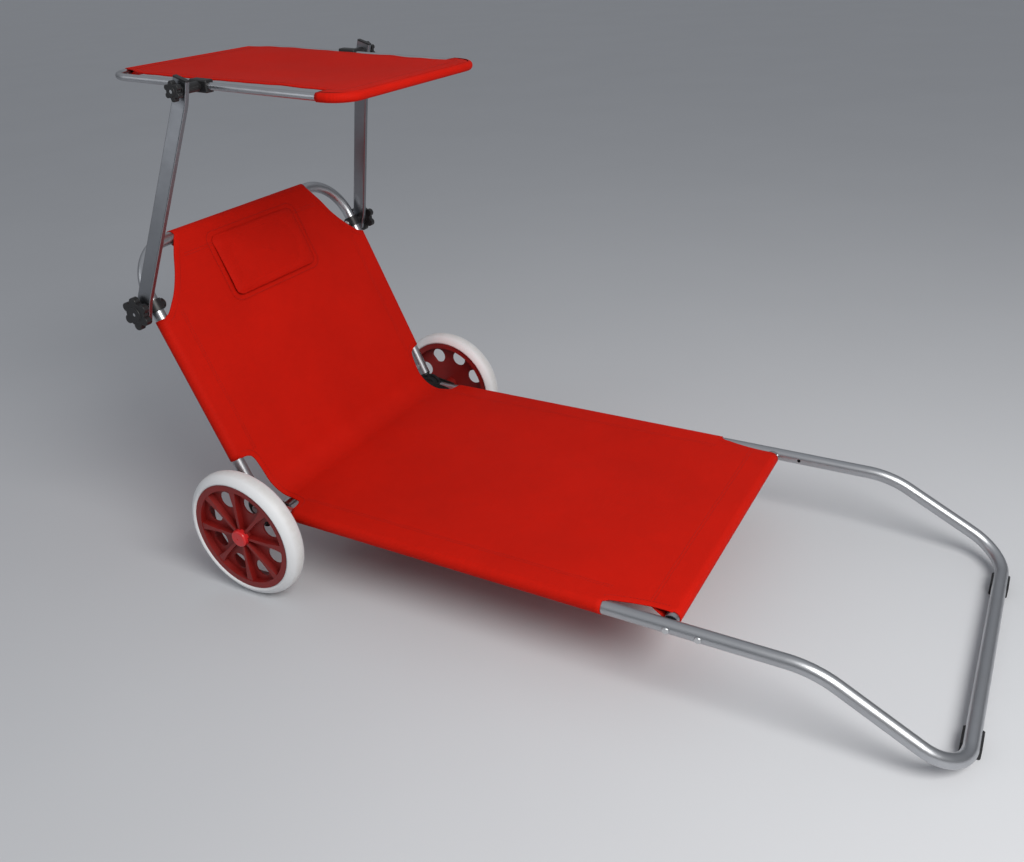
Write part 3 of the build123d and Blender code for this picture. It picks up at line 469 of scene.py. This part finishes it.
def stitches(name, lines, material):
    """Sewn lines of short arched threads, each given as (point, normal) along the cloth's surface."""
    ring = 6
    near = 0.001                # how far each way the run of the seam is read
    points, faces = [], []
    # each ring of a stitch: share of its length, lift and size in thread radii
    shape = [(-0.5, -0.9, 0.55), (-0.36, 0.1, 0.9), (0.0, 0.45, 1.0), (0.36, 0.1, 0.9), (0.5, -0.9, 0.55)]
    for line in lines:
        places = np.array([p for p, _ in line], float)
        normals = np.array([n for _, n in line], float)
        along = np.concatenate([[0], np.cumsum(np.linalg.norm(np.diff(places, axis=0), axis=1))])
        count = int(along[-1] / (STITCH + STITCH_GAP))
        for i in range(count):
            at = (i + 0.5) * along[-1] / count
            centre, ahead, behind = (
                Vector([np.interp(stop, along, places[:, k]) for k in range(3)])
                for stop in (at, at + near, at - near))
            run = (ahead - behind).normalized()
            up = Vector([np.interp(at, along, normals[:, k]) for k in range(3)]).normalized()
            side = run.cross(up).normalized()
            first = len(points)
            for share, lift, size in shape:
                core = centre + run * (share * STITCH) + up * (lift * THREAD_R)
                for k in range(ring):
                    turn = 2 * math.pi * k / ring
                    spoke = side * math.cos(turn) + up * math.sin(turn)
                    points.append(tuple(core + spoke * (size * THREAD_R)))
            for row in range(len(shape) - 1):
                for k in range(ring):
                    a = first + row * ring + k
                    b = first + row * ring + (k + 1) % ring
                    faces.append((a, b, b + ring, a + ring))
            faces.append(tuple(first + k for k in reversed(range(ring))))
            faces.append(tuple(first + (len(shape) - 1) * ring + k for k in range(ring)))
    mesh = bpy.data.meshes.new(name)
    mesh.from_pydata(points, [], faces)
    mesh.polygons.foreach_set("use_smooth", [True] * len(mesh.polygons))
    mesh.materials.append(material)
    piece = bpy.data.objects.new(name, mesh)
    bpy.context.scene.collection.objects.link(piece)
    return piece


def fade(value, start, end):
    """0 before start and 1 after end, smoothly."""
    t = min(1.0, max(0.0, (value - start) / (end - start)))
    return t * t * (3 - 2 * t)


# ================================================================ sling
cloth_h = tube_r + CLOTH_CLEAR
turn = (seat_dir * -1).angle(back_dir)
corner_at = cloth_h * math.tan(turn / 2)        # hip to where the two planes of cloth would meet
tangent_at = corner_at + FOLD_R * math.tan(turn / 2)
half_arc = FOLD_R * turn / 2


def seat_run(along):
    """Distance along the cloth from the middle of the hip fold, negative on the seat."""
    return -(along - tangent_at + half_arc)


def back_run(along):
    return along - tangent_at + half_arc


def sling_frame(run):
    """Point on the middle line of the flat sling, and the cloth's normal there."""
    if run < -half_arc:
        return on_seat(tangent_at - half_arc - run, 0, cloth_h), seat_up
    if run > half_arc:
        return on_back(tangent_at - half_arc + run, 0, cloth_h), back_up
    share = (run + half_arc) / (2 * half_arc)
    normal = (Matrix.Rotation(turn * share, 3, "Y") @ seat_up).normalized()
    centre = on_seat(tangent_at, 0, cloth_h + FOLD_R)
    return centre - normal * FOLD_R, normal


SEAT_BOWL, BACK_BOWL = 0.010, 0.006
CREASE, PULL, DRIFT = 0.0022, 0.0012, 0.0016


def sling_sag(run, y):
    """How far the cloth hangs below its flat place: a shallow bowl, and creases by the hip and ends."""
    foot = seat_run(crossbar_at)
    head = back_run(top_tube_at)
    inside = fade(NOTCH_Y - abs(y), 0.0, 0.16)
    seat_bowl = fade(run - foot, 0.0, 0.30) * fade(-0.03 - run, 0.0, 0.16)
    back_bowl = fade(run - 0.04, 0.0, 0.14) * fade(head - run, 0.0, 0.22)
    bowl = (SEAT_BOWL * seat_bowl + BACK_BOWL * back_bowl) * inside
    crease = noise.noise(Vector((run * 5.0, y * 21.0, 3.1))) * fade(0.16 - abs(run), 0.0, 0.16)
    pull = noise.noise(Vector((run * 26.0, y * 6.0, 7.7))) * fade(abs(y), 0.13, 0.24)
    drift = noise.noise(Vector((run * 4.0, y * 5.0, 1.3)))
    ends = fade(run - foot, 0.0, 0.05) * fade(head - run, 0.0, 0.05)
    edge = fade(NOTCH_Y - abs(y), -0.004, 0.03)
    return bowl + (CREASE * crease + PULL * pull + DRIFT * drift) * edge * ends


def sling_point(run, y, lift=0.0):
    base, normal = sling_frame(run)
    return base + ACROSS * y + normal * (lift - sling_sag(run, y))


def sling_edge():
    """Half widths of the sling from foot to head, as rows of (run, half width, has a sleeve).

    The cut edges are given as (distance from the hip, half width)."""
    foot_cut = [(crossbar_at, NOTCH_Y - 0.002), (0.752, 0.2602), (0.722, 0.2645), (0.698, 0.2700),
                (0.684, 0.2735), (SEAT_SLEEVE[1], rail_y)]
    hip_seat = [(SEAT_SLEEVE[0], rail_y), (0.0745, 0.2640), (0.068, 0.2540), (tangent_at, HIP_NOTCH_Y)]
    hip_back = [(tangent_at, HIP_NOTCH_Y), (0.082, 0.2530), (0.0930, 0.2640), (BACK_SLEEVE[0], rail_y)]
    head_cut = [(BACK_SLEEVE[1], rail_y), (0.3765, 0.2690), (0.388, 0.2560), (0.407, 0.2375),
                (0.432, 0.2190), (0.464, 0.2010), (top_tube_at, 0.1800)]
    rows = [(seat_run(s), y, False) for s, y in smooth_through(foot_cut, ROW * 0.7)]
    rows += [(seat_run(s), rail_y, True) for s in evenly(SEAT_SLEEVE[1], SEAT_SLEEVE[0], ROW)[1:]]
    rows += [(seat_run(s), y, False) for s, y in smooth_through(hip_seat, ROW * 0.5)[1:]]
    rows += [(run, HIP_NOTCH_Y, False) for run in evenly(-half_arc, half_arc, ROW * 0.6)[1:]]
    rows += [(back_run(s), y, False) for s, y in smooth_through(hip_back, ROW * 0.5)[1:]]
    rows += [(back_run(s), rail_y, True) for s in evenly(BACK_SLEEVE[0], BACK_SLEEVE[1], ROW)[1:]]
    rows += [(back_run(s), y, False) for s, y in smooth_through(head_cut, ROW * 0.5)[1:]]
    return rows


def stretches(rows):
    """The ranges of rows whose edge is all sleeve or all raw edge, as (first, last, has a sleeve)."""
    found = []
    first = 0
    for i in range(1, len(rows)):
        if i == len(rows) - 1 or rows[i + 1][2] != rows[i][2]:
            found.append((first, i, rows[i][2]))
            first = i
    return found


def edge_normals(points, up, side):
    """Outward directions, in the cloth, along an edge that runs from foot to head."""
    found = []
    for i, point in enumerate(points):
        ahead = points[min(i + 1, len(points) - 1)]
        behind = points[max(i - 1, 0)]
        out = (ahead - behind).cross(up[i]).normalized()
        if out.dot(ACROSS * side) < 0:
            out = out * -1
        found.append(out)
    return found


FOOT_SEAM_IN = 0.012            # the foot's seam stops this far from the cut edge


def make_sling():
    """The one sheet over seat and back, its sleeves and hems, and its seams."""
    sheet = Sheet()
    rows = sling_edge()
    shares = [2 * i / COLUMNS - 1 for i in range(COLUMNS + 1)]
    grid = []
    for run, half, _ in rows:
        grid.append([sheet.vertex(sling_point(run, half * v), run, half * v) for v in shares])
    for first, second in zip(grid, grid[1:]):
        sheet.strip(second, first)
    wrap = wrap_profile(cloth_h, SEAM_IN)
    sewn = []
    for side in (1, -1):
        column = COLUMNS if side > 0 else 0
        for first, last, has_sleeve in stretches(rows):
            edge = [grid[i][column] for i in range(first, last + 1)]
            up = [sling_frame(rows[i][0])[1] for i in range(first, last + 1)]
            if has_sleeve:
                out = [ACROSS * side] * len(edge)
                sheet.grow(edge, out, up, side < 0, wrap, (0, side))
                for inset in (SEAM_IN, SEAM_IN + SEAM_GAP):
                    y = side * (rail_y - inset)
                    sewn.append([(sling_point(rows[i][0], y, CLOTH_T / 2), up[i - first])
                                 for i in range(first, last + 1)])
            else:
                points = [Vector(sheet.points[n]) for n in edge]
                out = edge_normals(points, up, side)
                sheet.grow(edge, out, up, side < 0, hem_profile(), (0, side))
                sewn.append([(point - away * HEM_STITCH_IN + normal * (CLOTH_T / 2), normal)
                             for point, away, normal in zip(points, out, up)][1:-1])
    for row, along, up, flip in ((0, seat_dir, seat_up, False), (-1, back_dir, back_up, True)):
        out = [along] * len(shares)
        sheet.grow(grid[row], out, [up] * len(shares), flip, wrap, (1 if flip else -1, 0))
        run, half, _ = rows[row]
        for inset in (SEAM_IN, SEAM_IN + SEAM_GAP):
            back_from_end = -inset if flip else inset
            width = half if flip else half - FOOT_SEAM_IN
            sewn.append([(sling_point(run + back_from_end, y, CLOTH_T / 2), up)
                         for y in evenly(-width, width, SEAM_STEP)])
    sling = sheet.build("sling", canvas_red)
    thread = stitches("sling_stitches", sewn, thread_red)
    return sling, thread


sling, sling_thread = make_sling()
for piece in (sling, sling_thread):
    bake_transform(piece)
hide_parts("seat_sling", "backrest_sling")


# ================================================================ head pillow
PILLOW_FROM, PILLOW_TO = 0.346, 0.480
PILLOW_MID = (PILLOW_FROM + PILLOW_TO) / 2
PILLOW_HALF_X = (PILLOW_TO - PILLOW_FROM) / 2
PILLOW_HALF_Y = 0.121
PILLOW_START_T = 0.012          # crown before it is stuffed
PILLOW_CORNER = 0.020
PILLOW_SEAM_UP = 0.0012
PILLOW_STITCH_OUT = 0.0015
PILLOW_RINGS = 14
PILLOW_STEP = 0.005             # spacing of points round its outline
PILLOW_SWELL = 0.005            # the furthest that stuffing moves a point
PILLOW_CLEAR = 0.0006
PILLOW_REST = cloth_h + CLOTH_T / 2 + PILLOW_CLEAR
STUFFING_STEPS = 20


def crowned(x, y, half_x, half_y):
    """Height of a stuffed rectangle, from 0 at its seam to 1 in the middle."""
    return (max(0.0, 1 - abs(x / half_x) ** 3) * max(0.0, 1 - abs(y / half_y) ** 3)) ** 0.7


def rounded_rectangle(half_x, half_y, corner, spacing):
    """Points about spacing apart round a rectangle with round corners, anticlockwise."""
    arc = 8
    found = []
    for k, (sx, sy) in enumerate(((1, 1), (-1, 1), (-1, -1), (1, -1))):
        for i in range(arc + 1):
            turned = math.pi / 2 * (k + i / arc)
            found.append((sx * (half_x - corner) + corner * math.cos(turned),
                          sy * (half_y - corner) + corner * math.sin(turned)))
    found = np.array(found + found[:1])
    along = np.concatenate([[0], np.cumsum(np.linalg.norm(np.diff(found, axis=0), axis=1))])
    stops = np.linspace(0, along[-1], round(along[-1] / spacing), endpoint=False)
    return [(float(np.interp(a, along, found[:, 0])), float(np.interp(a, along, found[:, 1])))
            for a in stops]


def pillow_shell():
    """The pillow before it is stuffed: two crowned faces over a rounded rectangle, meeting at a seam."""
    outline = rounded_rectangle(PILLOW_HALF_X, PILLOW_HALF_Y, PILLOW_CORNER, PILLOW_STEP)
    sheet = Sheet()

    def spot(x, y, rise):
        along = PILLOW_MID + x
        return sheet.vertex(on_back(along, y, PILLOW_REST + PILLOW_SEAM_UP + rise), along, y)

    def loop(share, side):
        found = []
        for x, y in outline:
            high = crowned(x * share, y * share, PILLOW_HALF_X, PILLOW_HALF_Y)
            rise = PILLOW_START_T * high if side > 0 else -PILLOW_SEAM_UP * high
            found.append(spot(x * share, y * share, rise))
        return found + found[:1]

    seam = loop(1.0, 1)
    for side in (1, -1):
        loops = [seam] + [loop(1 - ring / PILLOW_RINGS, side) for ring in range(1, PILLOW_RINGS)]
        top = spot(0, 0, PILLOW_START_T if side > 0 else -PILLOW_SEAM_UP)
        for first, second in zip(loops, loops[1:]):
            sheet.strip(*((first, second) if side > 0 else (second, first)))
        for a, b in zip(loops[-1], loops[-1][1:]):
            sheet.faces.append((a, b, top) if side > 0 else (b, a, top))
    return sheet


def stuff(piece, most):
    """Swells a closed shell by cloth pressure. No point moves further than most, or below its seat."""
    mesh = piece.data
    start = np.array([v.co for v in mesh.vertices], float)
    cloth = piece.modifiers.new("stuffing", "CLOTH")
    cloth.settings.use_pressure = True
    cloth.settings.uniform_pressure_force = 4.0
    cloth.settings.effector_weights.gravity = 0.0
    cloth.settings.tension_stiffness = 12.0
    cloth.settings.compression_stiffness = 12.0
    cloth.settings.bending_stiffness = 0.3
    for step in range(1, STUFFING_STEPS + 1):
        bpy.context.scene.frame_set(step)
    graph = bpy.context.evaluated_depsgraph_get()
    swollen = np.array([v.co for v in piece.evaluated_get(graph).to_mesh().vertices], float)
    piece.modifiers.remove(cloth)
    moved = swollen - start
    far = np.linalg.norm(moved, axis=1, keepdims=True)
    final = start + moved * np.minimum(1.0, most / np.maximum(far, 1e-9))
    up = np.array(back_up)
    high = (final - np.array(hip)) @ up
    final += np.outer(np.maximum(PILLOW_REST - high, 0.0), up)
    mesh.vertices.foreach_set("co", final.astype(np.float32).ravel())
    mesh.update()


def make_pillow():
    """The stuffed pillow, rounded off, with the stitches that hold it to the sling."""
    pillow = pillow_shell().build("head_pillow_cushion", pillow_red, None)
    stuff(pillow, PILLOW_SWELL)
    soften = pillow.modifiers.new("soften", "SMOOTH")
    soften.factor = 0.5
    soften.iterations = 4
    smooth = pillow.modifiers.new("smooth", "SUBSURF")
    smooth.levels = 1
    smooth.render_levels = 1
    around = rounded_rectangle(PILLOW_HALF_X + PILLOW_STITCH_OUT, PILLOW_HALF_Y + PILLOW_STITCH_OUT,
                               PILLOW_CORNER, PILLOW_STEP)
    line = [(on_back(PILLOW_MID + x, y, PILLOW_REST), back_up) for x, y in around + around[:1]]
    thread = stitches("pillow_stitches", [line], thread_red)
    return pillow, thread


pillow, pillow_thread = make_pillow()
for piece in (pillow, pillow_thread):
    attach(piece, "backrest")
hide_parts("head_pillow")


# ================================================================ canopy sheet
POCKET_R = canopy_r + CLOTH_CLEAR
POCKET_SEAM = 0.020
POCKET_SEAM_GAP = 0.004
CANOPY_CORNER = 0.040           # bend of the canopy's tubes
POCKET_FROM = canopy_front_at - CANOPY_CORNER - 0.008
CANOPY_COLUMNS = 40
POCKET_COLUMNS = 4
CANOPY_BOWL = 0.009
CANOPY_DRIFT, CANOPY_PULL = 0.0014, 0.0012


def canopy_sag(along, y):
    inside = fade(0.165 - abs(y), 0.0, 0.12)
    bowl = fade(along - canopy_rear_at, 0.0, 0.20) * fade(canopy_front_at - along, 0.0, 0.20)
    drift = noise.noise(Vector((along * 9.0, y * 7.0, 5.2)))
    pull = noise.noise(Vector((along * 30.0, y * 5.0, 2.2))) * fade(abs(y), 0.08, 0.17)
    ends = fade(along - canopy_rear_at, 0.0, 0.04) * fade(POCKET_FROM - along, -0.01, 0.05)
    return CANOPY_BOWL * bowl * inside + (CANOPY_DRIFT * drift + CANOPY_PULL * pull) * ends


def canopy_point(along, y, lift=0.0):
    return on_canopy(along, y, POCKET_R + lift - canopy_sag(along, y))


def corner_half(along):
    """Half width of the front pocket's top line, round the bend of the tube."""
    into = max(0.0, along - (canopy_front_at - CANOPY_CORNER))
    return canopy_y - CANOPY_CORNER + math.sqrt(max(0.0, CANOPY_CORNER ** 2 - into ** 2))


def pocket_rows(sheet, last_row, inner, shares, turns):
    """Rows of the front pocket's top, from the last row between the tubes round the tube's bend.

    last_row is used as it is, and each row gets extra columns out to the tube at both sides."""
    bend = [canopy_front_at - CANOPY_CORNER + CANOPY_CORNER * math.sin(t) for t in turns]
    stations = [POCKET_FROM, *bend]
    front = []
    for i, along in enumerate(stations):
        reach = corner_half(along)
        inside = inner - (inner - (canopy_y - CANOPY_CORNER) * 0.9) * i / (len(stations) - 1)
        flank = [inside + (reach - inside) * j / POCKET_COLUMNS for j in range(1, POCKET_COLUMNS + 1)]
        row = [sheet.vertex(canopy_point(along, -y), along, -y) for y in reversed(flank)]
        if i:
            row += [sheet.vertex(canopy_point(along, inside * v), along, inside * v) for v in shares]
        else:
            row += last_row
        row += [sheet.vertex(canopy_point(along, y), along, y) for y in flank]
        front.append(row)
    return front


def make_canopy():
    """The canopy sheet between its two tubes, its pockets and hems, and its seams."""
    sheet = Sheet()
    rear_half = canopy_y - CANOPY_CORNER
    # side edge as (distance from the pivot, half width)
    side = [(canopy_rear_at, rear_half), (-0.188, 0.1560), (-0.160, 0.1690), (-0.100, 0.1735),
            (0.0, 0.1690), (0.100, 0.1655), (0.170, 0.1630), (0.215, 0.1635), (POCKET_FROM, 0.1640)]
    rows = smooth_through(side, ROW)
    shares = [2 * i / CANOPY_COLUMNS - 1 for i in range(CANOPY_COLUMNS + 1)]
    grid = [[sheet.vertex(canopy_point(along, half * v), along, half * v) for v in shares]
            for along, half in rows]
    for first, second in zip(grid, grid[1:]):
        sheet.strip(first, second)
    sewn = []
    up = [canopy_up] * len(rows)
    for hand in (1, -1):
        edge = [row[-1 if hand > 0 else 0] for row in grid]
        points = [Vector(sheet.points[n]) for n in edge]
        out = edge_normals(points, up, hand)
        sheet.grow(edge, out, up, hand > 0, hem_profile(), (0, hand))
        sewn.append([(point - away * HEM_STITCH_IN + canopy_up * (CLOTH_T / 2), canopy_up)
                     for point, away in zip(points, out)][1:-1])
    turns = [math.pi / 2 * i / 10 for i in range(11)]
    front = pocket_rows(sheet, grid[-1], rows[-1][1], shares, turns)
    for first, second in zip(front, front[1:]):
        sheet.strip(first, second)
    pocket = wrap_profile(POCKET_R, POCKET_SEAM)
    rim = [row[0] for row in front] + front[-1][1:-1] + [row[-1] for row in reversed(front)]
    outward = [(ACROSS * -math.cos(t) + canopy_dir * math.sin(t)) for t in [0.0, *turns]]
    outward += [canopy_dir] * (len(front[-1]) - 2)
    outward += [(ACROSS * math.cos(t) + canopy_dir * math.sin(t)) for t in reversed([0.0, *turns])]
    sheet.grow(rim, outward, [canopy_up] * len(rim), True, pocket, (1, 0))
    sheet.grow(grid[0], [canopy_dir * -1] * len(shares), [canopy_up] * len(shares), False, pocket, (-1, 0))
    for inset in (POCKET_SEAM, POCKET_SEAM + POCKET_SEAM_GAP):
        line = []
        for number, away in zip(rim, outward):
            point = Vector(sheet.points[number]) - away * inset
            along = (point - top_pivot).dot(canopy_dir)
            line.append((canopy_point(along, point.y, CLOTH_T / 2), canopy_up))
        sewn.append(line)
        sewn.append([(canopy_point(canopy_rear_at + inset, y, CLOTH_T / 2), canopy_up)
                     for y in evenly(-rear_half, rear_half, SEAM_STEP)])
    canopy = sheet.build("canopy_cloth", canvas_red)
    thread = stitches("canopy_stitches", sewn, thread_red)
    return canopy, thread


canopy, canopy_thread = make_canopy()
for piece in (canopy, canopy_thread):
    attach(piece, "canopy")
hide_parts("canopy_sheet")


# ================================================================ floor, light and camera
FLOOR_SIZE = 600.0
FLOOR_DROP = 0.0005             # keeps the floor's face clear of what stands on it


def make_floor():
    """A plain pale floor, large enough to fill the view."""
    material, tree, shader = new_material("studio_floor", Roughness=0.62)
    shader.inputs["Specular IOR Level"].default_value = 0.2
    place = coordinates(tree)
    cloud = noise_map(tree, place, 1.5, 3.0)
    tree.links.new(tint(tree, (0.56, 0.57, 0.59), cloud, 0.985, 1.01), shader.inputs["Base Color"])
    mesh = bpy.data.meshes.new("studio_floor")
    half = FLOOR_SIZE / 2
    mesh.from_pydata([(-half, -half, 0), (half, -half, 0), (half, half, 0), (-half, half, 0)], [],
                     [(0, 1, 2, 3)])
    mesh.materials.append(material)
    floor = bpy.data.objects.new("studio_floor", mesh)
    floor.location.z = -FLOOR_DROP
    bpy.context.scene.collection.objects.link(floor)


def area_light(name, place, aim, size, power, colour):
    data = bpy.data.lights.new(name, "AREA")
    data.shape = "DISK"
    data.size = size
    data.energy = power
    data.color = colour
    light = bpy.data.objects.new(name, data)
    light.location = place
    light.rotation_mode = "QUATERNION"
    light.rotation_quaternion = (Vector(aim) - Vector(place)).to_track_quat("-Z", "Y")
    bpy.context.scene.collection.objects.link(light)


def make_lights():
    """A sky that brightens upwards, one soft key light over the foot end and a weak fill."""
    world = bpy.data.worlds.new("studio")
    bpy.context.scene.world = world
    world.use_nodes = True
    tree = world.node_tree
    sky = tree.nodes["Background"]
    sky.inputs["Strength"].default_value = 0.5
    split = tree.nodes.new("ShaderNodeSeparateXYZ")
    tree.links.new(tree.nodes.new("ShaderNodeTexCoord").outputs["Generated"], split.inputs["Vector"])
    shade = ramp(tree, split.outputs["Z"], (0.0, (0.36, 0.37, 0.39)), (0.10, (0.245, 0.258, 0.282)),
                 (0.75, (0.80, 0.83, 0.88)))
    tree.links.new(shade, sky.inputs["Color"])
    area_light("key", place=(1.7, -1.0, 1.9), aim=(0.1, 0.0, 0.15), size=1.5, power=60.0,
               colour=(1.0, 0.985, 0.96))
    area_light("fill", place=(-2.2, -2.4, 1.6), aim=(-0.3, 0.0, 0.3), size=2.0, power=8.0,
               colour=(0.95, 0.97, 1.0))


def make_camera():
    azimuth, elevation, roll = math.radians(31.43), math.radians(26.67), math.radians(-4.08)
    distance = 1.929
    target = hip + Vector((0.267, 0.136, 0.175 - hip.z))
    back = Vector((math.sin(azimuth) * math.cos(elevation), -math.cos(azimuth) * math.cos(elevation),
                   math.sin(elevation)))
    level = (back * -1).cross(Vector((0, 0, 1))).normalized()
    upright = back.cross(level)
    right = level * math.cos(roll) + upright * math.sin(roll)
    up = upright * math.cos(roll) - level * math.sin(roll)
    data = bpy.data.cameras.new("camera")
    data.sensor_width = 36.0
    data.lens = 33.77
    data.shift_x = 0.01133
    data.shift_y = -0.01211
    camera = bpy.data.objects.new("camera", data)
    camera.matrix_world = Matrix((right, up, back)).transposed().to_4x4()
    camera.location = target + back * distance
    bpy.context.scene.collection.objects.link(camera)
    bpy.context.scene.camera = camera


make_floor()
make_lights()
make_camera()
bpy.context.scene.view_settings.view_transform = "Standard"
